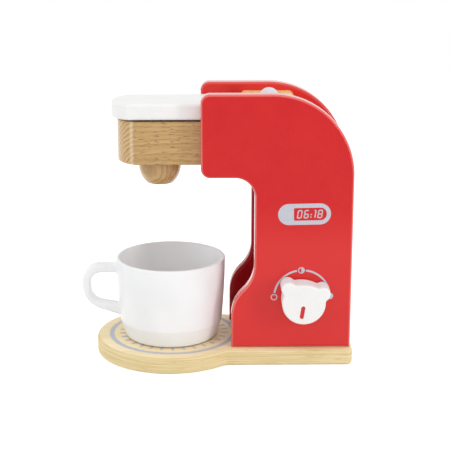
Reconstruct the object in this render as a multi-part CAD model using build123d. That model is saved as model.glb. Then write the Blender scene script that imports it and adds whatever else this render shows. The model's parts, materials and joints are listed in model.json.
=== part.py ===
"""Wooden toy coffee maker: two side panels on a tray board, a hinged lid, a push button,
a turning dial and a loose cup.

Frame: millimetres, +Z up, X along the board with the tray at -X and the column at +X,
Y across it with the dial panel at -Y. The origin is on the underside of the board, in the
middle of its length and width.
"""

import math
import os

from build123d import *

# ---- Board with the round tray ---------------------------------------------------------
board_thickness = 13.0
board_length = 199.6
board_width = 84.0
tray_radius = 59.4
board_corner_radius = 5.0
board_blend_radius = 8.0
board_edge_radius = 2.5

# ---- Side panels -----------------------------------------------------------------------
overall_height = 210.0
panel_thickness = 12.0
panel_gap = 50.0
panel_rear_margin = 1.7
head_length = 115.0
head_height = 63.1
column_width = 74.5
foot_width = 92.0
waist_height = 46.0
waist_length = 41.0
throat_radius = 15.0
nose_radius = 7.0
shoulder_radius = 62.0
panel_edge_radius = 2.5

# ---- Head block with the pod chamber ---------------------------------------------------
head_block_reach = 63.5
head_block_tail = 28.5
head_block_height = 32.9
head_nose_depth = 13.7
head_nose_flat = 3.0
nose_crease_radius = 4.0
head_block_edge_radius = 1.5
chamber_radius = 17.0
chamber_depth = 18.0
chamber_lip = 1.2

# ---- Nozzle ----------------------------------------------------------------------------
nozzle_inset = 32.05
nozzle_radius = 16.0
nozzle_depth = 18.4
nozzle_bulge = 2.45
nozzle_edge_radius = 2.5
nozzle_flat_radius = 10.0
spigot_radius = 8.0
spigot_length = 8.5

# ---- Lid, its pin and its pads ---------------------------------------------------------
lid_thickness = 12.4
lid_top_drop = 8.9
lid_overhang = 4.3
lid_nose_depth = 13.5
lid_nose_flat = 5.6
lid_edge_radius = 2.3
lid_gap = 1.1
lid_side_clearance = 0.6
hinge_inset = 17.5
hinge_pin_radius = 2.0
hinge_pin_bite = 8.0
hinge_pin_chamfer = 0.4
bumper_radius = 3.5
bumper_spread = 20.0
bumper_inset = 8.0

# ---- Button block and push button ------------------------------------------------------
button_block_clearance = 7.0
button_block_length = 42.0
button_block_height = 35.8
button_block_top_drop = 6.5
button_block_edge_radius = 4.5
button_block_small_edge = 1.0
button_radius = 7.7
button_skirt = 5.0
button_rear_inset = 20.5
button_sink = 1.5
button_travel = 4.0
button_well_clearance = 0.4
stem_radius = 3.0
stem_seat_depth = 6.0
stem_washer_radius = 6.5
stem_washer_thickness = 2.0
spring_wire_radius = 0.5
spring_turns = 3.5
spring_radius = 5.2
spring_shut_margin = 0.8

# ---- Dial ------------------------------------------------------------------------------
dial_rear_inset = 37.7
dial_height = 41.0
dial_radius = 16.4
dial_thickness = 16.5
dial_crown = 14.7
dial_crown_radius = 26.0
dial_ear_radius = 5.5
dial_ear_reach = 16.2
dial_ear_angle = 54.6
dial_ear_blend = 3.0
dial_edge_radius = 1.5
dial_tilt = 8.6
dial_slot_length = 10.4
dial_slot_width = 3.3
dial_slot_reach = 6.9
dial_slot_depth = 1.0
felt_radius = 12.5
felt_thickness = 0.8
spindle_radius = 5.0
spindle_seat_depth = 10.0
spindle_end_play = 0.3
dial_washer_radius = 11.0
dial_washer_thickness = 3.0

# ---- Rear rail, dowels and screws ------------------------------------------------------
rail_thickness = 20.0
rail_height = 45.0
rail_lift = 85.0
rail_rear_inset = 8.0
rail_edge_radius = 2.0
dowel_radius = 4.0
dowel_panel_depth = 8.0
dowel_block_depth = 14.0
dowel_chamfer = 0.8
head_dowel_inset = 8.5
head_dowel_low = 9.0
button_dowel_inset = 8.0
button_dowel_lift = 10.5
rail_dowel_inset = 11.0
board_screw_inset = 22.0
board_screw_radius = 2.0
board_screw_length = 32.0
board_screw_head_radius = 4.0
board_screw_head_height = 2.6
board_screw_sink = 0.4
small_screw_radius = 1.4
small_screw_length = 9.0
small_screw_head_radius = 2.8
small_screw_head_height = 1.7
screw_tip_taper = 1.5

# ---- Cup -------------------------------------------------------------------------------
cup_shift_x = -0.5
cup_shift_y = -2.3
cup_height = 64.0
cup_rim_radius = 42.9
cup_band_radius = 40.1
cup_band_height = 14.2
cup_foot_radius = 35.6
cup_foot_edge = 3.4
cup_foot_ring = 6.0
cup_foot_recess = 1.2
cup_wall = 2.2
cup_floor = 3.2
cup_floor_corner = 8.0
cup_band_blend = 5.0
cup_rim_edge = 1.0
cup_wall_bulge = 0.45
handle_width = 12.0
handle_reach = 26.4
handle_top_height = 58.0
handle_back_thickness = 6.4
handle_top_thickness = 6.2
handle_root_thickness = 8.1
handle_root_height = 16.9
handle_outer_slope = 18.5
handle_inner_slope = 10.9
handle_top_bend = 13.0
handle_low_bend = 20.0
handle_inner_top_bend = 8.0
handle_inner_low_bend = 10.5
handle_bend_share = 0.95
handle_edge_radius = 1.9
handle_root_fillet = 1.5

# ---- Clearances, and how far a cut runs past a face or a match may be out --------------
running_clearance = 0.06
glue_clearance = 0.05
cut_margin = 1.0
match_tolerance = 0.01
root_match_tolerance = 0.3

# ---- Places worked out from the sizes --------------------------------------------------
board_top = board_thickness
board_front_x = -board_length / 2
board_rear_x = board_length / 2
tray_x = board_front_x + tray_radius

panel_rear_x = board_rear_x - panel_rear_margin
head_front_x = panel_rear_x - head_length
column_front_x = panel_rear_x - column_width
foot_front_x = panel_rear_x - foot_width
head_bottom = overall_height - head_height
inner_face = panel_gap / 2
outer_face = inner_face + panel_thickness
waist_z = board_top + waist_height

lid_top = overall_height - lid_top_drop
lid_bottom = lid_top - lid_thickness
hinge_x = head_front_x + hinge_inset
hinge_z = lid_bottom + lid_thickness / 2
lid_rear_x = hinge_x + lid_thickness / 2

head_block_front_x = head_front_x - head_block_reach
head_block_rear_x = head_front_x + head_block_tail
head_block_top = lid_bottom - lid_gap
head_block_bottom = head_block_top - head_block_height
nozzle_x = head_block_front_x + nozzle_inset

button_block_front_x = lid_rear_x + button_block_clearance
button_block_rear_x = button_block_front_x + button_block_length
button_block_top = overall_height - button_block_top_drop
button_block_bottom = button_block_top - button_block_height
button_x = button_block_rear_x - button_rear_inset
button_centre_z = button_block_top - button_sink
button_skirt_bottom = button_centre_z - button_skirt
spring_shut_length = 2 * spring_wire_radius * (spring_turns + 1) + spring_shut_margin
button_well_floor = button_skirt_bottom - button_travel - spring_shut_length

dial_x = panel_rear_x - dial_rear_inset
dial_z = board_top + dial_height
dial_back_y = -(outer_face + felt_thickness)
dial_washer_y = -(inner_face - spindle_end_play)

rail_rear_x = panel_rear_x - rail_rear_inset
rail_front_x = rail_rear_x - rail_thickness
rail_bottom = board_top + rail_lift
rail_top = rail_bottom + rail_height

cup_x = tray_x + cup_shift_x
cup_y = cup_shift_y


def block(x_low, x_high, y_low, y_high, z_low, z_high):
    """Plain block between two corners."""
    size = (x_high - x_low, y_high - y_low, z_high - z_low)
    centre = ((x_low + x_high) / 2, (y_low + y_high) / 2, (z_low + z_high) / 2)
    return Pos(*centre) * Box(*size)


def upright_cylinder(x, y, z_low, z_high, radius):
    """Cylinder along +Z between two heights."""
    return Pos(x, y, (z_low + z_high) / 2) * Cylinder(radius, z_high - z_low)


def cross_cylinder(x, z, y_low, y_high, radius):
    """Cylinder along Y between two faces."""
    middle = Pos(x, (y_low + y_high) / 2, z) * Rot(90, 0, 0)
    return middle * Cylinder(radius, y_high - y_low)


def countersunk_screw(radius, length, head_radius, head_height):
    """Screw with its head's flat top at the origin and its point down along -Z."""
    tip = screw_tip_taper * radius
    profile = Polyline(
        (0, 0),
        (head_radius, 0),
        (radius, -head_height),
        (radius, tip - length),
        (0, -length),
        close=True,
    )
    return revolve(Plane.XZ * make_face(profile), Axis.Z)


def screw_cutter(radius, length, head_radius, head_height, sink):
    """Hole for a countersunk screw whose head lies below the face at the origin."""
    hole = countersunk_screw(
        radius + glue_clearance,
        length + glue_clearance,
        head_radius + glue_clearance,
        head_height,
    )
    mouth = Pos(0, 0, sink / 2) * Cylinder(head_radius + glue_clearance, sink)
    return hole + mouth


# ---- Board -----------------------------------------------------------------------------
def board_screw_places():
    """X and Y of the four screws that come up through the board into the panels."""
    panel_middle = inner_face + panel_thickness / 2
    front = foot_front_x + board_screw_inset
    rear = panel_rear_x - board_screw_inset
    return [(x, y) for x in (front, rear) for y in (-panel_middle, panel_middle)]


def board_screw_frame(x, y):
    """Where a board screw lies: head down in the underside, point up."""
    return Pos(x, y, board_screw_sink) * Rot(180, 0, 0)


def make_base_board():
    """Plywood board with a round tray end, blended into its straight sides."""
    straight_front = tray_x
    straight = Rectangle(board_rear_x - straight_front, board_width)
    outline = Pos((straight_front + board_rear_x) / 2, 0) * straight
    rear_corners = outline.vertices().group_by(Axis.X)[-1]
    outline = fillet(rear_corners, board_corner_radius)
    outline = Sketch() + outline + Pos(tray_x, 0) * Circle(tray_radius)
    necks = [v for v in outline.vertices() if is_neck(v)]
    outline = fillet(necks, board_blend_radius)
    board = extrude(outline, board_thickness)
    rims = board.edges().group_by(Axis.Z)
    board = fillet(rims[0] + rims[-1], board_edge_radius)
    for x, y in board_screw_places():
        board -= board_screw_frame(x, y) * screw_cutter(
            board_screw_radius,
            board_screw_length,
            board_screw_head_radius,
            board_screw_head_height,
            board_screw_sink,
        )
    return board


def is_neck(vertex):
    """True where the round tray meets a straight side of the board."""
    on_side = abs(abs(vertex.Y) - board_width / 2) < match_tolerance
    return on_side and abs(math.hypot(vertex.X - tray_x, vertex.Y) - tray_radius) < match_tolerance


def make_board_screws():
    """Four countersunk screws through the board into the panels' feet."""
    screw = countersunk_screw(
        board_screw_radius, board_screw_length, board_screw_head_radius, board_screw_head_height
    )
    return Compound([board_screw_frame(x, y) * screw for x, y in board_screw_places()])


# ---- Side panels -----------------------------------------------------------------------
def panel_outline():
    """Closed outline of a side panel in X and Z, clockwise from the front of its foot."""
    waist_low = waist_z - waist_length / 2
    waist_high = waist_z + waist_length / 2
    waist_mid = ((foot_front_x + column_front_x) / 2, waist_z)
    with BuildLine() as line:
        Line((foot_front_x, board_top), (foot_front_x, waist_low))
        lower = TangentArc((foot_front_x, waist_low), waist_mid, tangent=(0, 1))
        TangentArc(waist_mid, (column_front_x, waist_high), tangent=lower % 1)
        Line((column_front_x, waist_high), (column_front_x, head_bottom - throat_radius))
        TangentArc(
            (column_front_x, head_bottom - throat_radius),
            (column_front_x - throat_radius, head_bottom),
            tangent=(0, 1),
        )
        Line((column_front_x - throat_radius, head_bottom), (head_front_x + nose_radius, head_bottom))
        TangentArc(
            (head_front_x + nose_radius, head_bottom),
            (head_front_x, head_bottom + nose_radius),
            tangent=(-1, 0),
        )
        Line((head_front_x, head_bottom + nose_radius), (head_front_x, overall_height - nose_radius))
        TangentArc(
            (head_front_x, overall_height - nose_radius),
            (head_front_x + nose_radius, overall_height),
            tangent=(0, 1),
        )
        Line((head_front_x + nose_radius, overall_height), (panel_rear_x - shoulder_radius, overall_height))
        TangentArc(
            (panel_rear_x - shoulder_radius, overall_height),
            (panel_rear_x, overall_height - shoulder_radius),
            tangent=(1, 0),
        )
        Line((panel_rear_x, overall_height - shoulder_radius), (panel_rear_x, board_top))
        Line((panel_rear_x, board_top), (foot_front_x, board_top))
    return line.line


def make_side_panel(side):
    """Side panel with rounded-over edges and the blind holes of its joinery."""
    face = Pos(0, side * inner_face, 0) * make_face(Plane.XZ * panel_outline())
    panel = extrude(face, panel_thickness, dir=(0, side, 0))
    panel = fillet(panel.faces().filter_by(Axis.Y).edges(), panel_edge_radius)
    for x, z in dowel_places():
        panel -= dowel_hole(x, z, side, inner_face, inner_face + dowel_panel_depth)
    panel -= cross_cylinder(
        hinge_x,
        hinge_z,
        *sorted((side * (inner_face - cut_margin), side * (inner_face + hinge_pin_bite + glue_clearance))),
        hinge_pin_radius + glue_clearance,
    )
    for x, y in board_screw_places():
        panel -= board_screw_frame(x, y) * screw_cutter(
            board_screw_radius,
            board_screw_length,
            board_screw_head_radius,
            board_screw_head_height,
            board_screw_sink,
        )
    return panel


def make_dial_side_panel():
    """Panel on the dial's side, with the bore that the dial's spindle turns in."""
    panel = make_side_panel(-1)
    bore = cross_cylinder(
        dial_x,
        dial_z,
        -outer_face - cut_margin,
        -inner_face + cut_margin,
        spindle_radius + running_clearance,
    )
    return panel - bore


# ---- Dowels ----------------------------------------------------------------------------
def head_block_dowel_places():
    """X and Z of the dowels that hold the head block's tail."""
    return [
        (head_front_x + head_dowel_inset, head_block_bottom + head_dowel_low),
        (head_block_rear_x - head_dowel_inset, head_block_top - head_dowel_low),
    ]


def button_block_dowel_places():
    """X and Z of the dowels in the button block's ends, clear of the button's well."""
    z = button_block_bottom + button_dowel_lift
    return [
        (button_block_front_x + button_dowel_inset, z),
        (button_block_rear_x - button_dowel_inset, z),
    ]


def rail_dowel_places():
    """X and Z of the dowels in the rear rail's ends."""
    x = (rail_front_x + rail_rear_x) / 2
    return [(x, rail_bottom + rail_dowel_inset), (x, rail_top - rail_dowel_inset)]


def dowel_places():
    """Every dowel's X and Z, the same on both panels."""
    return head_block_dowel_places() + button_block_dowel_places() + rail_dowel_places()


def dowel_hole(x, z, side, y_near, y_far):
    """Blind hole along Y for a dowel, from one depth to another on one side."""
    low, high = sorted((side * (y_near - cut_margin), side * (y_far + glue_clearance)))
    return cross_cylinder(x, z, low, high, dowel_radius + glue_clearance)


def drill_for_dowels(piece, places):
    """Blind holes for dowels in both ends of a piece that spans the gap."""
    for x, z in places:
        for side in (-1, 1):
            depth = inner_face - dowel_block_depth - glue_clearance
            low, high = sorted((side * depth, side * (inner_face + cut_margin)))
            piece -= cross_cylinder(x, z, low, high, dowel_radius + glue_clearance)
    return piece


def make_dowels(places):
    """A chamfered dowel at each place on both sides."""
    dowels = []
    for x, z in places:
        for side in (-1, 1):
            ends = sorted(
                (side * (inner_face - dowel_block_depth), side * (inner_face + dowel_panel_depth))
            )
            dowel = cross_cylinder(x, z, *ends, dowel_radius)
            dowels.append(chamfer(dowel.edges().filter_by(GeomType.CIRCLE), dowel_chamfer))
    return Compound(dowels)


# ---- Head block, nozzle and pod chamber ------------------------------------------------
def nosed_plate(x_ends, z_ends, half_width, nose_depth, nose_flat):
    """Plate whose front runs from a short flat round two arcs to a soft crease at each side."""
    front_x, rear_x = x_ends
    crease_x = front_x + nose_depth
    flat = nose_flat / 2
    near_arc = TangentArc((front_x, -flat), (crease_x, -half_width), tangent=(0, -1))
    far_arc = TangentArc((front_x, flat), (crease_x, half_width), tangent=(0, 1))
    front = Line((front_x, -flat), (front_x, flat))
    back = Polyline(
        (crease_x, -half_width),
        (rear_x, -half_width),
        (rear_x, half_width),
        (crease_x, half_width),
    )
    outline = make_face([front, near_arc, back, far_arc])
    plate = Pos(0, 0, z_ends[0]) * extrude(outline, z_ends[1] - z_ends[0])
    upright_edges = plate.edges().filter_by(Axis.Z).group_by(Axis.X)
    return fillet(upright_edges[1], nose_crease_radius)


def make_head_block():
    """Beech block held between the panels, with a nose in front and the pod chamber."""
    body = nosed_plate(
        (head_block_front_x, head_block_rear_x),
        (head_block_bottom, head_block_top),
        inner_face,
        head_nose_depth,
        head_nose_flat,
    )
    rims = body.edges().group_by(Axis.Z)
    body = fillet(rims[0] + rims[-1], head_block_edge_radius)
    chamber = upright_cylinder(
        nozzle_x,
        0,
        head_block_top - chamber_depth,
        head_block_top + cut_margin,
        chamber_radius,
    )
    body -= chamber
    lip = [edge for edge in body.edges().filter_by(GeomType.CIRCLE) if is_chamber_lip(edge)]
    body = chamfer(lip, chamber_lip)
    body -= upright_cylinder(
        nozzle_x,
        0,
        head_block_bottom - cut_margin,
        head_block_bottom + spigot_length + glue_clearance,
        spigot_radius + glue_clearance,
    )
    return drill_for_dowels(body, head_block_dowel_places())


def is_chamber_lip(edge):
    """True for the circle where the pod chamber opens in the block's top."""
    at_top = edge.center().Z > head_block_top - match_tolerance
    return at_top and abs(edge.radius - chamber_radius) < match_tolerance


def make_nozzle():
    """Turned beech nozzle: a bulged nose that narrows to a flat, and a glued spigot."""
    nose = SagittaArc((nozzle_radius, 0), (nozzle_flat_radius, -nozzle_depth), nozzle_bulge)
    closing = Polyline(
        (nozzle_flat_radius, -nozzle_depth),
        (0, -nozzle_depth),
        (0, spigot_length),
        (spigot_radius, spigot_length),
        (spigot_radius, 0),
        (nozzle_radius, 0),
    )
    turned = revolve(Plane.XZ * make_face([nose, closing]), Axis.Z)
    rings = turned.edges().filter_by(GeomType.CIRCLE).group_by(Axis.Z)
    turned = chamfer(rings[-1], dowel_chamfer)
    rings = turned.edges().filter_by(GeomType.CIRCLE).group_by(Axis.Z)
    turned = fillet(rings[0], nozzle_edge_radius)
    return Pos(nozzle_x, 0, head_block_bottom) * turned


# ---- Lid -------------------------------------------------------------------------------
def make_brew_lid():
    """Flat lid with a nose like its block's and a full round at the back, about its pin."""
    half_width = inner_face - lid_side_clearance
    plate = nosed_plate(
        (head_block_front_x - lid_overhang, hinge_x),
        (lid_bottom, lid_top),
        half_width,
        lid_nose_depth,
        lid_nose_flat,
    )
    knuckle = cross_cylinder(hinge_x, hinge_z, -half_width, half_width, lid_thickness / 2)
    lid = plate + knuckle
    rims = [edge for edge in lid.edges() if is_lid_rim(edge, half_width)]
    lid = fillet(rims, lid_edge_radius)
    return lid - cross_cylinder(
        hinge_x, hinge_z, -inner_face, inner_face, hinge_pin_radius + running_clearance
    )


def is_lid_rim(edge, half_width):
    """True for the edges round the lid's top and bottom and round its back."""
    middle = edge.center()
    on_side = abs(abs(middle.Y) - half_width) < match_tolerance
    flat = abs(middle.Z - lid_top) < match_tolerance or abs(middle.Z - lid_bottom) < match_tolerance
    round_back = edge.geom_type == GeomType.CIRCLE and middle.X > hinge_x
    return (flat and middle.X < hinge_x - cut_margin) or (on_side and round_back)


def make_lid_hinge_pin():
    """Steel pin across the gap, seated blind in both panels."""
    reach = inner_face + hinge_pin_bite
    pin = cross_cylinder(hinge_x, hinge_z, -reach, reach, hinge_pin_radius)
    return chamfer(pin.edges().filter_by(GeomType.CIRCLE), hinge_pin_chamfer)


def make_lid_bumpers():
    """Two felt dots on the head block that the closed lid rests on."""
    x = head_block_front_x + bumper_inset
    return Compound(
        [
            upright_cylinder(x, y, head_block_top, lid_bottom, bumper_radius)
            for y in (-bumper_spread / 2, bumper_spread / 2)
        ]
    )


# ---- Button block and push button ------------------------------------------------------
def make_button_block():
    """Block between the panels behind the lid, bored for the push button."""
    body = block(
        button_block_front_x,
        button_block_rear_x,
        -inner_face,
        inner_face,
        button_block_bottom,
        button_block_top,
    )
    cross_edges = body.edges().filter_by(Axis.Y).group_by(Axis.Z)
    body = fillet(cross_edges[-1], button_block_edge_radius)
    cross_edges = body.edges().filter_by(Axis.Y).group_by(Axis.Z)
    body = fillet(cross_edges[0], button_block_small_edge)
    body -= upright_cylinder(
        button_x,
        0,
        button_well_floor,
        button_block_top + cut_margin,
        button_radius + button_well_clearance,
    )
    body -= upright_cylinder(
        button_x,
        0,
        button_block_bottom - cut_margin,
        button_block_top,
        stem_radius + running_clearance,
    )
    return drill_for_dowels(body, button_block_dowel_places())


def make_button_dome():
    """Half-ball button with a straight skirt, bored from below for its stem."""
    ball = Sphere(button_radius) & Pos(0, 0, button_radius / 2) * Box(
        3 * button_radius, 3 * button_radius, button_radius
    )
    skirt = Pos(0, 0, -button_skirt / 2) * Cylinder(button_radius, button_skirt)
    dome = ball + skirt
    seat = Pos(0, 0, stem_seat_depth / 2 - button_skirt) * Cylinder(
        stem_radius + glue_clearance, stem_seat_depth
    )
    return Pos(button_x, 0, button_centre_z) * (dome - seat)


def make_button_stem():
    """Dowel stem from the button down through the block, with a pilot hole below."""
    top = button_skirt_bottom + stem_seat_depth - glue_clearance
    stem = upright_cylinder(button_x, 0, button_block_bottom, top, stem_radius)
    return stem - stem_screw_frame() * small_screw_cutter()


def stem_screw_frame():
    """Where the stem's screw lies: head down under the washer, point up."""
    return Pos(button_x, 0, button_block_bottom - stem_washer_thickness) * Rot(180, 0, 0)


def small_screw():
    """Small countersunk screw, head at the origin and point down."""
    return countersunk_screw(
        small_screw_radius, small_screw_length, small_screw_head_radius, small_screw_head_height
    )


def small_screw_cutter():
    """Hole for the small screw, its head flush with the face at the origin."""
    return screw_cutter(
        small_screw_radius,
        small_screw_length,
        small_screw_head_radius,
        small_screw_head_height,
        glue_clearance,
    )


def make_button_washer():
    """Washer under the block that stops the button at the top of its travel."""
    low = button_block_bottom - stem_washer_thickness
    washer = upright_cylinder(button_x, 0, low, button_block_bottom, stem_washer_radius)
    return washer - stem_screw_frame() * small_screw_cutter()


def make_button_screw():
    """Screw that holds the washer to the stem."""
    return stem_screw_frame() * small_screw()


def make_button_spring():
    """Coil spring round the stem, between the well's floor and the button's skirt."""
    height = button_skirt_bottom - button_well_floor - 2 * spring_wire_radius
    pitch = height / spring_turns
    path = Helix(pitch, height, spring_radius)
    wire = Plane(path @ 0, z_dir=path % 0) * Circle(spring_wire_radius)
    coil = sweep(wire, path, is_frenet=True)
    return Pos(button_x, 0, button_well_floor + spring_wire_radius) * coil


# ---- Dial ------------------------------------------------------------------------------
def dial_outline():
    """Round knob outline with a flatter crown between two round ears."""
    crown_centre = dial_crown - dial_crown_radius
    head = Circle(dial_radius) & Pos(0, crown_centre) * Circle(dial_crown_radius)
    outline = Sketch() + head
    for side in (-1, 1):
        angle = math.radians(90 - side * dial_ear_angle)
        place = Pos(dial_ear_reach * math.cos(angle), dial_ear_reach * math.sin(angle))
        outline += place * Circle(dial_ear_radius)
    notches = [v for v in outline.vertices() if is_ear_notch(v)]
    return fillet(notches, dial_ear_blend)


def is_ear_notch(vertex):
    """True where an ear's circle meets the head's outline."""
    for side in (-1, 1):
        angle = math.radians(90 - side * dial_ear_angle)
        centre_x = dial_ear_reach * math.cos(angle)
        centre_y = dial_ear_reach * math.sin(angle)
        gap = math.hypot(vertex.X - centre_x, vertex.Y - centre_y) - dial_ear_radius
        if abs(gap) < match_tolerance and math.hypot(vertex.X, vertex.Y) < dial_radius + match_tolerance:
            return True
    return False


def dial_frame():
    """The dial's own frame: its front face looks along -Y and it is turned a little."""
    facing = Plane(origin=(dial_x, dial_back_y, dial_z), x_dir=(1, 0, 0), z_dir=(0, -1, 0))
    return facing.location * Rot(0, 0, -dial_tilt)


def make_dial_knob():
    """White knob with a pointer slot in its face and a seat for the spindle behind."""
    knob = extrude(dial_outline(), dial_thickness)
    rims = knob.edges().group_by(Axis.Z)
    knob = fillet(rims[0] + rims[-1], dial_edge_radius)
    slot = Rot(0, 0, 90) * SlotOverall(dial_slot_length, dial_slot_width)
    slot = Pos(0, -dial_slot_reach, dial_thickness - dial_slot_depth) * slot
    knob -= extrude(slot, dial_slot_depth + cut_margin)
    seat = Pos(0, 0, spindle_seat_depth / 2) * Cylinder(
        spindle_radius + glue_clearance, spindle_seat_depth
    )
    return dial_frame() * (knob - seat)


def make_dial_spindle():
    """Beech spindle glued into the knob, running in the panel's bore."""
    front = dial_back_y - spindle_seat_depth + glue_clearance
    spindle = cross_cylinder(dial_x, dial_z, front, dial_washer_y, spindle_radius)
    return spindle - dial_screw_frame() * small_screw_cutter()


def dial_screw_frame():
    """Where the dial's screw lies: head on the washer inside, point towards the knob."""
    return Pos(dial_x, dial_washer_y + dial_washer_thickness, dial_z) * Rot(-90, 0, 0)


def make_dial_washer():
    """Wooden washer inside the panel that keeps the spindle in its bore."""
    washer = cross_cylinder(
        dial_x,
        dial_z,
        dial_washer_y,
        dial_washer_y + dial_washer_thickness,
        dial_washer_radius,
    )
    return washer - dial_screw_frame() * small_screw_cutter()


def make_dial_screw():
    """Screw that holds the washer to the spindle."""
    return dial_screw_frame() * small_screw()


def make_dial_felt():
    """Felt ring between the knob and the panel that gives the dial its drag."""
    ring = cross_cylinder(dial_x, dial_z, dial_back_y, -outer_face, felt_radius)
    hole = cross_cylinder(
        dial_x,
        dial_z,
        dial_back_y - cut_margin,
        -outer_face + cut_margin,
        spindle_radius + running_clearance,
    )
    return ring - hole


# ---- Rear rail -------------------------------------------------------------------------
def make_rear_rail():
    """Spreader between the panels at the back of the column."""
    rail = block(rail_front_x, rail_rear_x, -inner_face, inner_face, rail_bottom, rail_top)
    rail = fillet(rail.edges().filter_by(Axis.Y), rail_edge_radius)
    return drill_for_dowels(rail, rail_dowel_places())


# ---- Cup -------------------------------------------------------------------------------
def cup_wall_radius(height):
    """Outer radius of the cup's slightly barrelled wall at a height above its foot."""
    share = (height - cup_band_height) / (cup_height - cup_band_height)
    bulge = 4 * cup_wall_bulge * share * (1 - share)
    return cup_band_radius + share * (cup_rim_radius - cup_band_radius) + bulge


def cup_outside():
    """Half section of the cup's outer shape, filled in to its axis."""
    band = (cup_band_radius, cup_band_height)
    rim = (cup_rim_radius, cup_height)
    wall = SagittaArc(band, rim, -cup_wall_bulge)
    closing = Polyline(rim, (0, cup_height), (0, 0), (cup_foot_radius, 0), band)
    section = make_face([wall, closing])
    section = round_corner(section, cup_foot_radius, 0, cup_foot_edge)
    section = round_corner(section, *band, cup_band_blend)
    return round_corner(section, *rim, cup_rim_edge)


def round_corner(section, x, y, radius):
    """Rounds the corner of a flat section that lies nearest to a point."""
    corner = section.vertices().sort_by_distance((x, y, 0))[0]
    return fillet(corner, radius)


def cup_inside():
    """Half section of the space inside the cup, open above its rim."""
    floor_radius = cup_wall_radius(cup_floor) - 2 * cup_wall
    mouth_radius = cup_rim_radius - cup_wall
    above = cup_height + 2 * cup_rim_edge
    contour = FilletPolyline(
        (0, cup_floor),
        (floor_radius, cup_floor),
        (mouth_radius, cup_height - cup_rim_edge),
        (mouth_radius, above),
        radius=[cup_floor_corner, cup_floor_corner],
        close=False,
    )
    closing = Polyline((mouth_radius, above), (0, above), (0, cup_floor))
    return make_face([contour.wire(), closing])


def handle_loop(back_x, top, root_height, slope, top_bend, low_bend):
    """Area under a handle's contour, from the cup's axis out to the handle's back."""
    rise = math.tan(math.radians(slope))
    low_corner = root_height + rise * (-cup_band_radius - back_x)
    bend_reach = top_bend + low_bend * math.tan(math.radians((90 - slope) / 2))
    room = min(1.0, handle_bend_share * (top - low_corner) / bend_reach)
    contour = FilletPolyline(
        (0, top),
        (back_x, top),
        (back_x, low_corner),
        (0, root_height - rise * cup_band_radius),
        radius=[room * top_bend, room * low_bend],
        close=False,
    )
    closing = Line((0, root_height - rise * cup_band_radius), (0, top))
    return make_face([contour.wire(), closing])


def make_cup_handle():
    """Handle cut as a loop in the cup's upright mid-plane, with its edges rounded over."""
    back_x = -(cup_rim_radius + handle_reach)
    outer = handle_loop(
        back_x,
        handle_top_height,
        handle_root_height,
        handle_outer_slope,
        handle_top_bend,
        handle_low_bend,
    )
    inner = handle_loop(
        back_x + handle_back_thickness,
        handle_top_height - handle_top_thickness,
        handle_root_height + handle_root_thickness,
        handle_inner_slope,
        handle_inner_top_bend,
        handle_inner_low_bend,
    )
    loop = extrude(Plane.XZ * (outer - inner), handle_width / 2, both=True)
    return fillet(loop.faces().filter_by(Axis.Y).edges(), handle_edge_radius)


def make_cup():
    """Cup with its handle, standing on the tray."""
    bowl = revolve(Plane.XZ * cup_outside(), Axis.Z)
    hollow = revolve(Plane.XZ * cup_inside(), Axis.Z)
    recess_radius = cup_foot_radius - cup_foot_ring
    recess = Pos(0, 0, cup_foot_recess / 2) * Cylinder(recess_radius, cup_foot_recess)
    joined = bowl + (make_cup_handle() - hollow)
    roots = [edge for edge in joined.edges() if is_handle_root(edge)]
    joined = fillet(roots, handle_root_fillet)
    return Pos(cup_x, cup_y, board_top) * (joined - hollow - recess)


def is_handle_root(edge):
    """True for the edges where the handle meets the bowl's outer wall."""
    middle = edge.center()
    reach = math.hypot(middle.X, middle.Y)
    near_handle = middle.X < 0 and abs(middle.Y) < handle_width
    above_foot = cup_band_height < middle.Z < cup_height - handle_root_fillet
    return near_handle and above_foot and abs(reach - cup_wall_radius(middle.Z)) < root_match_tolerance


nodes = {
    "base_board": make_base_board,
    "board_screws": make_board_screws,
    "dial_side_panel": make_dial_side_panel,
    "plain_side_panel": lambda: make_side_panel(1),
    "head_block": make_head_block,
    "head_block_dowels": lambda: make_dowels(head_block_dowel_places()),
    "nozzle": make_nozzle,
    "button_block": make_button_block,
    "button_block_dowels": lambda: make_dowels(button_block_dowel_places()),
    "rear_rail": make_rear_rail,
    "rear_rail_dowels": lambda: make_dowels(rail_dowel_places()),
    "brew_lid": make_brew_lid,
    "lid_hinge_pin": make_lid_hinge_pin,
    "lid_bumpers": make_lid_bumpers,
    "button_dome": make_button_dome,
    "button_stem": make_button_stem,
    "button_spring": make_button_spring,
    "button_washer": make_button_washer,
    "button_screw": make_button_screw,
    "dial_knob": make_dial_knob,
    "dial_spindle": make_dial_spindle,
    "dial_felt": make_dial_felt,
    "dial_washer": make_dial_washer,
    "dial_screw": make_dial_screw,
    "cup": make_cup,
}

os.makedirs("parts", exist_ok=True)
for name, make in nodes.items():
    export_step(make(), f"parts/{name}.step")
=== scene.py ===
import json
import math

import bmesh
import bpy
from mathutils import Matrix, Vector


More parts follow.
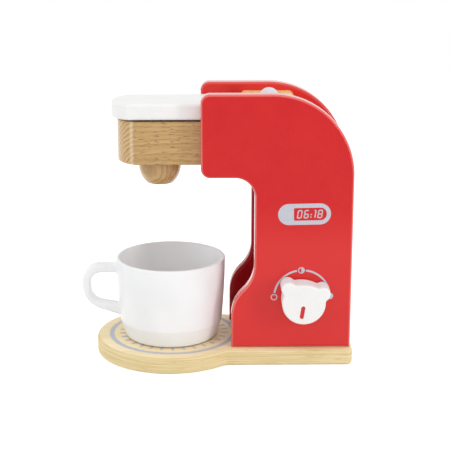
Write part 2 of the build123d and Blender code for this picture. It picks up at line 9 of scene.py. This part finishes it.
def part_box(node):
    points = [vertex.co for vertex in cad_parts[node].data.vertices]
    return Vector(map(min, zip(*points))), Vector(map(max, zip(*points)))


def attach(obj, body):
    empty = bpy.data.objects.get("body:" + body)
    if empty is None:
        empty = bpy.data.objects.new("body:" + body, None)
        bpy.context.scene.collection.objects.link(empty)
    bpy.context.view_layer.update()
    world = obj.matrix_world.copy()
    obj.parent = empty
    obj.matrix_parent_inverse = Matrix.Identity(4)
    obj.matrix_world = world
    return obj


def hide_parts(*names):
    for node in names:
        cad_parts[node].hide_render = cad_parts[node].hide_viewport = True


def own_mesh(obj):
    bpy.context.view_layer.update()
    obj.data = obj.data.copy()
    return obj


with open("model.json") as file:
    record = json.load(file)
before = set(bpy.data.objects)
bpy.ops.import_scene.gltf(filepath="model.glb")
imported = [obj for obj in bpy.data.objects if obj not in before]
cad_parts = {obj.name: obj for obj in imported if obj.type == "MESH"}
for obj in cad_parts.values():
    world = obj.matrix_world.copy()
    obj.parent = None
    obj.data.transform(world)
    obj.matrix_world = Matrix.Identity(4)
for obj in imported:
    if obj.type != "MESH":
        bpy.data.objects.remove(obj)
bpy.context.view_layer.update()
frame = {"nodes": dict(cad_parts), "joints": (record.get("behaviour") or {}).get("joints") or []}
mm = 0.001

# ---- Camera ------------------------------------------------------------------------------
# A long lens a little above the toy, looking at the dial's side.
camera_place = Vector((-15.47, -927.65, 355.86)) * mm
camera_pitch = 15.346
camera_yaw = 1.060
camera_roll = -0.040
lens_length = 98.26
sensor_width = 36.0

camera_data = bpy.data.cameras.new("camera")
camera_data.lens = lens_length
camera_data.sensor_width = sensor_width
camera_data.clip_start = 50 * mm
camera_data.clip_end = 40.0
camera = bpy.data.objects.new("camera", camera_data)
bpy.context.scene.collection.objects.link(camera)
camera.location = camera_place
camera.rotation_euler = (
    math.radians(90 - camera_pitch),
    math.radians(camera_roll),
    math.radians(-camera_yaw),
)
bpy.context.scene.camera = camera
bpy.context.scene.view_settings.view_transform = "Standard"


# ---- Floor, room and lamps ---------------------------------------------------------------
# A round sheet of pale card in an evenly lit white room. A tall strip lamp stands to the
# right of the dial's side, a wide soft box to the left, and another hangs over the toy.
class Wire:
    """One socket of a finish. Arithmetic on it adds Math nodes; node() adds any other node."""

    def __init__(self, tree, socket):
        self.tree = tree
        self.socket = socket

    def node(self, kind, settings=None, values=None, out=0):
        """Adds a node: its settings first, then the values or links of its sockets."""
        made = self.tree.nodes.new("ShaderNode" + kind)
        for name, value in (settings or {}).items():
            setattr(made, name, value)
        for name, value in (values or {}).items():
            if isinstance(value, Wire):
                self.tree.links.new(value.socket, made.inputs[name])
            else:
                made.inputs[name].default_value = value
        return Wire(self.tree, made.outputs[out]) if made.outputs else None

    def math(self, operation, *values):
        return self.node("Math", {"operation": operation}, dict(enumerate(values)))

    def __add__(self, other):
        return self.math("ADD", self, other)

    def __sub__(self, other):
        return self.math("SUBTRACT", self, other)

    def __rsub__(self, other):
        return self.math("SUBTRACT", other, self)

    def __mul__(self, other):
        return self.math("MULTIPLY", self, other)

    def __truediv__(self, other):
        return self.math("DIVIDE", self, other)

    def __pow__(self, other):
        return self.math("POWER", self, other)

    def __abs__(self):
        return self.math("ABSOLUTE", self)

    __radd__ = __add__
    __rmul__ = __mul__


def colour(red, green, blue):
    """A finish's colour, from the 0 to 255 values that it is seen as."""
    shares = [level / 255 for level in (red, green, blue)]
    return (*[s / 12.92 if s < 0.04045 else ((s + 0.055) / 1.055) ** 2.4 for s in shares], 1)


def seen_directly(tree):
    """1 for rays of the camera, a reflection or a glass, and 0 for the rays that light things."""
    path = tree.nodes.new("ShaderNodeLightPath").outputs
    camera_ray = Wire(tree, path["Is Camera Ray"])
    glossy_ray = Wire(tree, path["Is Glossy Ray"])
    glass_ray = Wire(tree, path["Is Transmission Ray"])
    any_ray = camera_ray + glossy_ray + glass_ray
    return any_ray.math("MINIMUM", any_ray, 1.0)


floor_radius = 1.3
floor_colour = colour(238, 238, 238)
floor_lift = 0.50
room_light = 0.88

floor_mesh = bmesh.new()
bmesh.ops.create_circle(floor_mesh, cap_ends=True, segments=96, radius=floor_radius)
floor_data = bpy.data.meshes.new("floor")
floor_mesh.to_mesh(floor_data)
floor_mesh.free()
floor = bpy.data.objects.new("floor", floor_data)
bpy.context.scene.collection.objects.link(floor)

floor_card = bpy.data.materials.new("floor_card")
floor_card.use_nodes = True
floor_card.node_tree.nodes.clear()
seen = seen_directly(floor_card.node_tree)
card = seen.node("BsdfDiffuse", None, {"Color": floor_colour})
glow = seen.node("Emission", None, {"Color": (1, 1, 1, 1), "Strength": seen * floor_lift})
lit_card = seen.node("AddShader", None, {0: card, 1: glow})
seen.node("OutputMaterial", None, {"Surface": lit_card})
floor_data.materials.append(floor_card)

room = bpy.data.worlds.new("room")
room.use_nodes = True
room.node_tree.nodes.clear()
bpy.context.scene.world = room
seen = seen_directly(room.node_tree)
room_strength = room_light + (1 - room_light) * seen
room_white = seen.node("Background", None, {"Color": (1, 1, 1, 1), "Strength": room_strength})
seen.node("OutputWorld", None, {"Surface": room_white})


lamp_target = Vector((0, 0, 0.10))


def lamp(name, place, width, height, power):
    """A soft rectangular lamp that looks at the middle of the toy."""
    data = bpy.data.lights.new(name, "AREA")
    data.shape = "RECTANGLE"
    data.size = width
    data.size_y = height
    data.energy = power
    made = bpy.data.objects.new(name, data)
    bpy.context.scene.collection.objects.link(made)
    made.location = place
    made.rotation_euler = (lamp_target - Vector(place)).to_track_quat("-Z", "Y").to_euler()
    made.visible_camera = False


lamp("strip_lamp", place=(0.97, -0.70, 0.34), width=0.17, height=0.62, power=2.8)
lamp("left_lamp", place=(-1.25, -0.55, 0.50), width=0.5, height=0.9, power=1.9)
lamp("top_lamp", place=(-0.10, -0.30, 1.40), width=1.2, height=1.2, power=2.4)

# ---- Base board --------------------------------------------------------------------------
# Birch plywood, sawn to a round tray with a straight tail and rounded over. Under its clear
# lacquer the top shows one long-grained veneer, and the edge shows the plies it is glued from.
ply_thickness = 13 / 9 * mm
glue_from, glue_full = 0.34, 0.48
top_from, top_full = 12.8 * mm, 12.98 * mm
veneer_pale = colour(246, 229, 186)
veneer_dark = colour(235, 212, 165)
veneer_cream = colour(252, 240, 208)
ply_pale = colour(238, 221, 174)
ply_dark = colour(215, 192, 136)
ply_streak = colour(190, 160, 98)


def start(name):
    """A new material and its place on the piece, as Object coordinates."""
    material = bpy.data.materials.new(name)
    material.use_nodes = True
    material.node_tree.nodes.clear()
    tree = material.node_tree
    return material, Wire(tree, tree.nodes.new("ShaderNodeTexCoord").outputs["Object"])


def axis_of(place, axis):
    """One coordinate of a place."""
    return place.node("SeparateXYZ", None, {0: place}, out="XYZ".index(axis))


def mix(share, first, second):
    """Colour between two colours, by a share from 0 to 1."""
    settings = {"data_type": "RGBA", "clamp_factor": True}
    return share.node("Mix", settings, {0: share, 6: first, 7: second}, out=2)


def step(value, low, high):
    """0 below low, 1 above high and smooth between them."""
    settings = {"interpolation_type": "SMOOTHSTEP"}
    return value.node("MapRange", settings, {"Value": value, "From Min": low, "From Max": high})


def noise(place, per_metre, detail=2.0, distortion=0.0):
    """Noise from 0 to 1 whose grains are as close as per_metre says along X, Y and Z."""
    stretched = place.node("Mapping", {"vector_type": "POINT"}, {"Vector": place, "Scale": per_metre})
    values = {"Vector": stretched, "Scale": 1.0, "Detail": detail, "Distortion": distortion}
    return place.node("TexNoise", {"noise_dimensions": "3D"}, values)


def finish(material, place, base, roughness, relief, depth, **constants):
    """Ends a material in a Principled shader, whose relief is raised by up to depth metres."""
    bumped = {"Height": relief, "Distance": depth, "Strength": 1.0}
    values = {"Base Color": base, "Roughness": roughness, "Normal": place.node("Bump", None, bumped)}
    values.update({name.replace("_", " "): value for name, value in constants.items()})
    shader = place.node("BsdfPrincipled", None, values)
    shader.node("OutputMaterial", {"is_active_output": True}, {"Surface": shader})
    return material


def paint_node(name, material):
    """Gives a CAD node its finish."""
    node = frame["nodes"][name]
    node.data.materials.clear()
    node.data.materials.append(material)


plywood, place = start("plywood")
height = axis_of(place, "Z")
long_grain = noise(place, (11, 190, 190), detail=4.0, distortion=0.5)
fibre = noise(place, (70, 2300, 2300), detail=2.0)
cloud = noise(place, (16, 45, 45), detail=2.0)
ply_wave = noise(place, (22, 22, 40), detail=1.0)
ply = height / ply_thickness + ply_wave * 0.9
tone = noise(place, (15, 15, 640), detail=5.0, distortion=0.3)
cut_fibre = noise(place, (60, 60, 1900), detail=2.0)
short_streak = noise(place, (75, 75, 900), detail=1.0)
glue_line = step(abs(ply.math("FRACT", ply) - 0.5), glue_from, glue_full)
on_top = step(height, top_from, top_full)
face = mix(step(long_grain * 0.65 + fibre * 0.35, 0.36, 0.68), veneer_pale, veneer_dark)
face = mix(step(cloud, 0.45, 0.75) * 0.5, face, veneer_cream)
edge = mix(step(tone * 0.62 + cut_fibre * 0.38, 0.33, 0.70), ply_pale, ply_dark)
edge = mix(glue_line * tone * 0.7, edge, ply_streak)
edge = mix(step(short_streak, 0.62, 0.76) * 0.45, edge, ply_streak)
grain = fibre * on_top + cut_fibre * (1 - on_top)
ply_rough = 0.40 + fibre * 0.14
finish(plywood, place, mix(on_top, edge, face), ply_rough, grain, 0.03 * mm, Specular_IOR_Level=0.35)
paint_node("base_board", plywood)

# Silk-screened on the tray: one ring of grey-blue ink round the cup's place, and inside it
# thirty short dashes that point at its middle.
ring_middle = (-39.6 * mm, 0.2 * mm, 12.98 * mm)
ring_inner, ring_outer = 46.9 * mm, 50.7 * mm
dash_centre = (-39.1 * mm, 1.3 * mm, 12.98 * mm)
dash_count = 30
dash_middle = 40.8 * mm
dash_length, dash_width = 5.2 * mm, 2.4 * mm
dash_end_share = 0.49
ring_steps = 180
ink_height = 0.04 * mm
ink_pale = colour(194, 196, 205)
ink_dark = colour(182, 185, 195)
corner_segments = 10
weld = 0.0005 * mm


def ink(name, pale, dark):
    """Screen-printing ink: even, nearly matt, with the faint mottle of the mesh."""
    material, place = start(name)
    mottle = noise(place, (900, 900, 900), detail=3.0)
    mesh_print = noise(place, (4200, 4200, 4200), detail=1.0)
    tint = mix(step(mottle, 0.3, 0.7), pale, dark)
    return finish(material, place, tint, 0.5 + mottle * 0.1, mesh_print, 0.004 * mm, Specular_IOR_Level=0.3)


def rounded_plate(shape, width, height, left, right, place=None):
    """Adds a flat plate whose left and right corners have their own radii."""
    kept = set(shape.verts)
    size = Matrix.Diagonal((width, height, 1, 1))
    bmesh.ops.create_grid(shape, x_segments=1, y_segments=1, size=0.5, matrix=size)
    for side, radius in ((-1, left), (1, right)):
        corners = [v for v in shape.verts if v not in kept and v.co.x * side > 0]
        bmesh.ops.bevel(
            shape,
            geom=corners,
            offset=radius,
            offset_type="OFFSET",
            segments=corner_segments,
            profile=0.5,
            affect="VERTICES",
            material=-1,
        )
    added = [v for v in shape.verts if v not in kept]
    bmesh.ops.transform(shape, matrix=place or Matrix.Identity(4), verts=added)


def arc_strip(shape, inner, outer, start_angle, sweep, steps, middle=(0.0, 0.0)):
    """Adds a flat strip along an arc; a sweep of 360 degrees closes it into a ring."""
    turned = Matrix.Rotation(math.radians(start_angle), 3, "Z")
    centre = Vector((*middle, 0))
    ends = [shape.verts.new(centre + turned @ Vector((radius, 0, 0))) for radius in (inner, outer)]
    across = shape.edges.new(ends)
    bmesh.ops.spin(
        shape,
        geom=[*ends, across],
        cent=centre,
        axis=(0, 0, 1),
        angle=math.radians(sweep),
        steps=steps,
        use_merge=sweep == 360,
    )


def make_piece(shape, name, material, body):
    """Welds a shape, turns its faces outwards and makes it a piece that rides on a body."""
    bmesh.ops.remove_doubles(shape, verts=shape.verts[:], dist=weld)
    bmesh.ops.recalc_face_normals(shape, faces=shape.faces[:])
    data = bpy.data.meshes.new(name)
    shape.to_mesh(data)
    shape.free()
    data.materials.append(material)
    piece = bpy.data.objects.new(name, data)
    bpy.context.scene.collection.objects.link(piece)
    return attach(piece, body)


def make_print(shape, name, material, body, thickness, place):
    """Gives flat drawn shapes their thickness and lays them in place as one piece."""
    raised = bmesh.ops.extrude_face_region(shape, geom=shape.faces[:])
    tops = [item for item in raised["geom"] if isinstance(item, bmesh.types.BMVert)]
    bmesh.ops.translate(shape, verts=tops, vec=(0, 0, thickness))
    bmesh.ops.transform(shape, matrix=place, verts=shape.verts[:])
    return make_piece(shape, name, material, body)


tray_ink = ink("tray_ink", ink_pale, ink_dark)
ring = bmesh.new()
arc_strip(ring, ring_inner, ring_outer, 0, 360, ring_steps)
make_print(ring, "tray_ring_print", tray_ink, "frame", ink_height, Matrix.Translation(ring_middle))

dashes = bmesh.new()
for number in range(dash_count):
    turn = Matrix.Rotation(math.radians((number + 0.5) * 360 / dash_count), 4, "Z")
    end = dash_width * dash_end_share
    place = turn @ Matrix.Translation((dash_middle, 0, 0))
    rounded_plate(dashes, dash_length, dash_width, end, end, place)
make_print(dashes, "tray_dash_print", tray_ink, "frame", ink_height, Matrix.Translation(dash_centre))

# ---- Side panels -------------------------------------------------------------------------
# Two matching boards, rounded over on both faces and sprayed red, with a thin glossy film along
# the rounded edges. Salmon on the edges is painted highlight, deep red low on the inside faces is
# painted shade, and lighter red high on the inside faces and low on the outer faces is painted light.
panel_middle = 31.0 * mm
edge_from, edge_full = 5.94 * mm, 5.4 * mm
corner_from, corner_full = 1.8 * mm, 4.2 * mm
inside_from, inside_full = 28.0 * mm, 25.6 * mm
inside_top, inside_low = 150 * mm, 138 * mm
mouth_from, mouth_full = 60 * mm, 40 * mm
mouth_deeper = 8 * mm
low_lit_none, low_lit_full = 130 * mm, 85 * mm
red_light = colour(208, 37, 38)
red_deep = colour(203, 31, 34)
red_low_lit = colour(214, 52, 50)
red_edge_highlight = colour(230, 101, 92)
red_inside_shade = colour(150, 10, 24)
red_inside_lit = colour(217, 53, 49)

red_paint, place = start("red_paint")
peel = noise(place, (1500, 1500, 1500), detail=2.0)
cloud = noise(place, (70, 70, 70), detail=3.0)
sawn = noise(place, (620, 160, 620), detail=3.0)
aside = abs(axis_of(place, "Y"))
depth_in = abs(aside - panel_middle)
on_edge = 1 - step(depth_in, edge_full, edge_from)
mouth = (1 - step(axis_of(place, "X"), mouth_full, mouth_from)) * step(axis_of(place, "Y"), 0.0, mm)
facing_in = 1 - step(aside - mouth * mouth_deeper, inside_full, inside_from)
upper = step(axis_of(place, "Z"), inside_low, inside_top)
inside = facing_in * (1 - upper)
on_edge = on_edge * (1 - inside)
base = mix(step(peel * 0.6 + cloud * 0.4, 0.35, 0.65), red_deep, red_light)
# Painted light: the red is lighter low down on the panels.
base = mix(step(axis_of(place, "Z"), low_lit_none, low_lit_full), base, red_low_lit)
on_corner = on_edge * step(depth_in, corner_from, corner_full)
# Painted highlight: the rounded edges are tinted salmon, speckled by the sawn noise.
base = mix(on_corner * (0.4 + sawn * 0.6), base, red_edge_highlight)
# Painted shade: the inside faces below the head, and the plain panel's front edge there, are dark crimson.
base = mix(inside * 0.85, base, red_inside_shade)
# Painted light: the inside faces high up are a lighter red.
base = mix(facing_in * upper, base, red_inside_lit)
relief = peel * 0.25 + sawn * on_edge
rough = 0.19 + peel * 0.06
coats = {"Specular_IOR_Level": 0.2, "Coat_Weight": on_edge, "Coat_Roughness": 0.16, "Coat_IOR": 1.55}
finish(red_paint, place, base, rough, relief, 0.07 * mm, **coats)
paint_node("dial_side_panel", red_paint)
paint_node("plain_side_panel", red_paint)

# Printed on the dial's side: a clock in a long rounded frame, with four slanted digits of
# plain bars in its window, and the dial's scale from empty to full.
panel_face = -36.98 * mm
print_height = 0.06 * mm
clock_middle = (60.95 * mm, 119.5 * mm)
clock_tilt = 1.0
clock_width, clock_height = 39.8 * mm, 16.4 * mm
window_middle = 4.4 * mm
window_width, window_height = 24.7 * mm, 9.8 * mm
window_left_radius, window_right_radius = 1.0 * mm, 4.7 * mm
digit_width, digit_height = 3.7 * mm, 6.6 * mm
digit_stroke = 0.88 * mm
digit_gap = 0.12 * mm
digit_slant = 0.16
digit_end_share = 0.45
digit_flag_share = 0.9
digit_places = {"0": -3.6 * mm, "6": 1.45 * mm, "1": 6.8 * mm, "8": 11.75 * mm}
digit_bars = {"0": "abcdef", "6": "acdefg", "1": "bch", "8": "abcdefg"}
colon_place = 5.1 * mm
colon_heights = (-0.35 * mm, -2.35 * mm)
colon_size = 0.95 * mm
colon_corner = colon_size * 0.3
clock_end = clock_height * 0.499
scale_middle = (60.1 * mm, 54.0 * mm)
scale_radius = 21.4 * mm
scale_stroke = 1.45 * mm
mark_radius = 2.55 * mm
mark_stroke = 0.75 * mm
mark_angles = (180, 92, 2)
mark_gap_angle = 9.2
mark_hole = mark_stroke * 0.02
scale_steps, mark_steps = 40, 48


def on_panel(x, z, tilt=0.0):
    """Places a flat drawing on the dial's side, its up along Z and its front towards -Y."""
    upright = Matrix.Rotation(math.radians(90), 4, "X")
    return Matrix.Translation((x, panel_face, z)) @ upright @ Matrix.Rotation(math.radians(tilt), 4, "Z")


def digit(shape, bars, across):
    """Adds one digit made of rounded bars, named a to g as on any such clock; h is a 1's flag."""
    reach_x = (digit_width - digit_stroke) / 2
    reach_y = (digit_height - digit_stroke) / 2
    flag = digit_flag_share * reach_x
    middles = {
        "a": (0, reach_y, 0, 2 * reach_x),
        "b": (reach_x, reach_y / 2, 90, reach_y),
        "c": (reach_x, -reach_y / 2, 90, reach_y),
        "d": (0, -reach_y, 0, 2 * reach_x),
        "e": (-reach_x, -reach_y / 2, 90, reach_y),
        "f": (-reach_x, reach_y / 2, 90, reach_y),
        "g": (0, 0, 0, 2 * reach_x),
        "h": (reach_x - flag / 2, reach_y, 0, flag),
    }
    slant = Matrix.Identity(4)
    slant[0][1] = digit_slant
    for bar in bars:
        x, y, turn, length = middles[bar]
        end = digit_stroke * digit_end_share
        turned = Matrix.Rotation(math.radians(turn), 4, "Z")
        place = Matrix.Translation((across, 0, 0)) @ slant @ Matrix.Translation((x, y, 0)) @ turned
        rounded_plate(shape, length - digit_gap, digit_stroke, end, end, place)


print_ink = ink("print_ink", colour(196, 198, 207), colour(187, 190, 200))

clock = bmesh.new()
rounded_plate(clock, clock_width, clock_height, clock_end, clock_end)
window_place = Matrix.Translation((window_middle, 0, 0))
rounded_plate(clock, window_width, window_height, window_left_radius, window_right_radius, window_place)
bmesh.ops.delete(clock, geom=clock.faces[:], context="FACES_ONLY")
bmesh.ops.triangle_fill(clock, edges=clock.edges[:], use_beauty=True)
clock_place = on_panel(*clock_middle, clock_tilt)
make_print(clock, "clock_frame_print", print_ink, "frame", print_height, clock_place)

digits = bmesh.new()
for figure, across in digit_places.items():
    digit(digits, digit_bars[figure], across)
for lift in colon_heights:
    dot = Matrix.Translation((colon_place + lift * digit_slant, lift, 0))
    rounded_plate(digits, colon_size, colon_size, colon_corner, colon_corner, dot)
make_print(digits, "clock_digit_print", print_ink, "frame", print_height, clock_place)

scale = bmesh.new()
for high_mark, low_mark in zip(mark_angles, mark_angles[1:]):
    sweep = high_mark - low_mark - 2 * mark_gap_angle
    first = low_mark + mark_gap_angle
    inner, outer = scale_radius - scale_stroke / 2, scale_radius + scale_stroke / 2
    arc_strip(scale, inner, outer, first, sweep, scale_steps)
for angle, filled in zip(mark_angles, (0, 180, 360)):
    turn = math.radians(angle)
    middle = (scale_radius * math.cos(turn), scale_radius * math.sin(turn))
    ring_sweep = 360 - filled if filled < 360 else 0
    if filled:
        arc_strip(scale, mark_hole, mark_radius, -90, filled, mark_steps // 2 + filled // 10, middle)
    if ring_sweep:
        arc_strip(scale, mark_radius - mark_stroke, mark_radius, 90, ring_sweep, mark_steps, middle)
make_print(scale, "dial_scale_print", print_ink, "frame", print_height, on_panel(*scale_middle))


# ---- Rear rail and dowels ----------------------------------------------------------------
# A beech rail joins the panels at the back, on beech dowels glued into blind holes. Steamed
# beech has pinkish tan growth layers, fine pores, and short dark flecks along the grain.
wander_reach, ripple_reach = 5 * mm, 1.2 * mm
end_grain_from, end_grain_full = 3 * mm, 1 * mm
crease_reach = 2.2 * mm


def beech(name, heart, turn, ring, colours, contrast=0.5, rings=0.16, flecked=0.8, crease=None):
    """Wood whose log lies along the turned X axis; heart is a point on the log's middle. A
    crease is a place along X where end grain begins, with a painted highlight along it."""
    pale, dark, fleck_colour = colours
    material, object_place = start(name)
    settings = {"vector_type": "TEXTURE"}
    log = {"Vector": object_place, "Location": heart, "Rotation": [math.radians(a) for a in turn]}
    place = object_place.node("Mapping", settings, log)
    wander = noise(place, (22, 50, 50), detail=2.0)
    ripple = noise(place, (70, 260, 260), detail=2.0)
    reach = (axis_of(place, "Y") ** 2 + axis_of(place, "Z") ** 2) ** 0.5
    layer = (reach + (wander - 0.5) * wander_reach + (ripple - 0.5) * ripple_reach) / ring
    share = layer.math("FRACT", layer)
    late = step(share, 0.30, 0.93) * (1 - step(share, 0.95, 1.0))
    year = place.node("TexWhiteNoise", {"noise_dimensions": "1D"}, {"W": layer.math("FLOOR", layer)})
    streak = noise(place, (30, 700, 700), detail=4.0)
    fibre = noise(place, (110, 2600, 2600), detail=2.0)
    flecks = step(noise(place, (170, 1350, 1350), detail=1.0), 0.59, 0.67) * flecked
    glint = step(noise(place, (190, 1100, 1100), detail=1.0), 0.60, 0.72)
    tone = late * rings + year * 0.10 + streak * (0.70 - rings) + fibre * 0.20
    if crease is not None:
        along = axis_of(object_place, "X")
        end_grain = 1 - step(along, crease - end_grain_full, crease + end_grain_from)
        end_tone = late * 0.55 + year * 0.15 + streak * 0.30
        tone = tone * (1 - end_grain) + end_tone * end_grain
        flecks = flecks * (1 - end_grain)
    base = mix(step(tone, 0.45 - contrast / 2, 0.45 + contrast / 2), pale, dark)
    base = mix(glint * 0.35, base, pale)
    base = mix(flecks, base, fleck_colour)
    if crease is not None:
        # Painted highlight: a pale line along the crease.
        glinting = 1 - step(abs(along - crease), 0.0, crease_reach)
        base = mix(glinting * 0.5, base, crease_highlight)
    relief = fibre - flecks * 0.6
    lacquer = {"Specular_IOR_Level": 0.4, "Coat_Weight": 0.5, "Coat_Roughness": 0.22}
    return finish(material, place, base, 0.22 + fibre * 0.10, relief, 0.02 * mm, **lacquer)


beech_colours = (colour(203, 166, 106), colour(169, 129, 72), colour(122, 82, 42))
crease_highlight = colour(232, 211, 182)
across_grain = (0, 0, 90)
rail_heart = (20 * mm, 0, 60 * mm)
rail_beech = beech("rail_beech", rail_heart, across_grain, 2.6 * mm, beech_colours)
for node in ("rear_rail", "rear_rail_dowels", "head_block_dowels", "button_block_dowels"):
    paint_node(node, rail_beech)

# ---- Board screws ------------------------------------------------------------------------
# Four countersunk screws of zinc-plated steel, driven up through the board into the panels'
# feet, which they hold to it.
zinc_pale = colour(208, 209, 212)
zinc_dark = colour(172, 175, 181)

zinc_steel, place = start("zinc_steel")
spangle = noise(place, (600, 600, 600), detail=3.0)
drawn = noise(place, (3800, 3800, 900), detail=2.0)
zinc = mix(step(spangle, 0.3, 0.7), zinc_dark, zinc_pale)
finish(zinc_steel, place, zinc, 0.24 + drawn * 0.16, drawn, 0.006 * mm, Metallic=1.0)
paint_node("board_screws", zinc_steel)

# ---- Head block and nozzle ---------------------------------------------------------------
# Solid beech with a bored chamber for the coffee, glued and dowelled between the panels: its
# grain runs front to back, so the curved nose shows the cut rings. The nozzle is turned.
block_heart = (0, -62 * mm, 132 * mm)
block_crease = -68.7 * mm
nozzle_heart = (-20 * mm, 42 * mm, 158 * mm)
nozzle_turn = (0, 84, 62)
nozzle_colours = (colour(200, 162, 104), colour(168, 126, 72), colour(146, 106, 60))

block_beech = beech(
    "block_beech", block_heart, (0, 0, 0), 2.7 * mm, beech_colours, crease=block_crease
)
paint_node("head_block", block_beech)
nozzle_beech = beech(
    "nozzle_beech",
    nozzle_heart,
    nozzle_turn,
    2.4 * mm,
    nozzle_colours,
    contrast=0.74,
    rings=0.40,
    flecked=0.25,
)
paint_node("nozzle", nozzle_beech)

# ---- Lid, hinge pin and pads -------------------------------------------------------------
# Wood sprayed white, turning on a drawn steel pin between the panels. Two glued dots of grey
# felt let it shut softly.
white_light = colour(240, 240, 239)
white_dark = colour(236, 236, 234)
white_cool = colour(236, 252, 252)
felt_light = colour(104, 101, 97)
felt_dark = colour(60, 58, 56)
cool_depth = 0.8 * mm


def white_lacquer(name, gloss, face=None):
    """Sprayed white lacquer with a faint orange peel. Behind a face's place along Y its tint is
    cooler, against the red light that comes off the panel there."""
    material, place = start(name)
    peel = noise(place, (1100, 1100, 1100), detail=2.0)
    cloud = noise(place, (90, 90, 90), detail=2.0)
    tint = mix(step(peel * 0.5 + cloud * 0.5, 0.35, 0.65), white_dark, white_light)
    if face is not None:
        tint = mix(step(axis_of(place, "Y"), face, face + cool_depth), tint, white_cool)
    return finish(material, place, tint, gloss + peel * 0.06, peel, 0.006 * mm, Specular_IOR_Level=0.3)


felt, place = start("felt")
fuzz = noise(place, (5200, 5200, 5200), detail=3.0)
clump = noise(place, (900, 900, 900), detail=2.0)
felt_tint = mix(step(fuzz * 0.6 + clump * 0.4, 0.3, 0.7), felt_dark, felt_light)
finish(felt, place, felt_tint, 0.9 + fuzz * 0.1, fuzz, 0.1 * mm, Sheen_Weight=0.4)

paint_node("brew_lid", white_lacquer("lid_lacquer", 0.34))
paint_node("lid_hinge_pin", zinc_steel)
paint_node("lid_bumpers", felt)

# ---- Button block, push button and its spring --------------------------------------------
# A block of yellow pine dowelled between the panels. A turned half-ball sprayed silver sits in
# its bore on a beech stem, over a coil spring, and a washer and screw below keep it there.
pine_heart = (0, 10 * mm, 130 * mm)
pine_colours = (colour(250, 231, 156), colour(242, 217, 136), colour(208, 156, 76))

button_pine = beech("button_pine", pine_heart, (0, 0, 0), 3.2 * mm, pine_colours, contrast=0.7)
paint_node("button_block", button_pine)

silver_paint, place = start("silver_paint")
peel = noise(place, (1500, 1500, 1500), detail=2.0)
flake = noise(place, (6500, 6500, 6500), detail=1.0)
silver = mix(step(flake, 0.35, 0.65), colour(206, 208, 215), colour(218, 220, 226))
silver_rough = 0.30 + peel * 0.08
finish(silver_paint, place, silver, silver_rough, peel, 0.02 * mm, Coat_Weight=0.25, Coat_Roughness=0.2)
paint_node("button_dome", silver_paint)

stem_heart = (35.3 * mm, 9 * mm, 0)
stem_beech = beech("stem_beech", stem_heart, (0, 90, 0), 2.2 * mm, beech_colours)
paint_node("button_stem", stem_beech)
paint_node("button_washer", rail_beech)
paint_node("button_screw", zinc_steel)

# The spring's coils close up as the button goes down, so a copy of them stands for the wire.
press = next(joint for joint in frame["joints"] if joint["name"] == "button_press")
press_travel = press["range_m"][1]
spring_low, spring_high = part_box("button_spring")
spring_rest = spring_high.z - spring_low.z
spring_share = (spring_rest - press_travel) / spring_rest
coils = bmesh.new()
coils.from_mesh(frame["nodes"]["button_spring"].data)
spring_coils = make_piece(coils, "spring_coils", zinc_steel, "frame")
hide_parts("button_spring")
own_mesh(spring_coils)

# ---- Dial --------------------------------------------------------------------------------
# A round knob with two small lobes, sawn from wood and sprayed white, on a beech spindle
# through the panel. A felt ring lets it turn smoothly; a washer and screw hold it inside.
dial_face = -53.6 * mm
slot_middle = (60.4 * mm, 54.0 * mm)
slot_reach = 6.9 * mm
slot_length, slot_width = 10.0 * mm, 2.95 * mm
slot_tilt = 8.6
slot_floor = -53.28 * mm
slot_paint_height = 0.08 * mm
slot_end = slot_width * 0.495

paint_node("dial_knob", white_lacquer("dial_lacquer", 0.30, face=dial_face))
paint_node("dial_spindle", rail_beech)
paint_node("dial_washer", rail_beech)
paint_node("dial_felt", felt)
paint_node("dial_screw", zinc_steel)

slot = bmesh.new()
rounded_plate(slot, slot_length, slot_width, slot_end, slot_end)
down = math.radians(-90 - slot_tilt)
slot_x = slot_middle[0] + slot_reach * math.cos(down)
slot_z = slot_middle[1] + slot_reach * math.sin(down)
slot_place = Matrix.Translation((0, slot_floor - panel_face, 0)) @ on_panel(slot_x, slot_z, -90 - slot_tilt)
make_print(slot, "dial_slot_paint", red_paint, "dial", slot_paint_height, slot_place)

# ---- Cup ---------------------------------------------------------------------------------
# Turned and hollowed wood with its handle glued on, all under several coats of white gloss. The
# dark tint along the edge it stands on is for the line of shade there.
cup_light = colour(243, 244, 245)
cup_dark = colour(239, 240, 241)
foot_shade = colour(150, 134, 112)
foot_low, foot_high = 13.3 * mm, 14.0 * mm

cup_lacquer, place = start("cup_lacquer")
ripple = noise(place, (45, 45, 45), detail=1.0)
peel = noise(place, (900, 900, 900), detail=1.0)
cup_tint = mix(step(ripple, 0.3, 0.7), cup_dark, cup_light)
cup_tint = mix(step(axis_of(place, "Z"), foot_low, foot_high), foot_shade, cup_tint)
finish(cup_lacquer, place, cup_tint, 0.26 + ripple * 0.05, peel, 0.003 * mm, Specular_IOR_Level=0.35)
paint_node("cup", cup_lacquer)
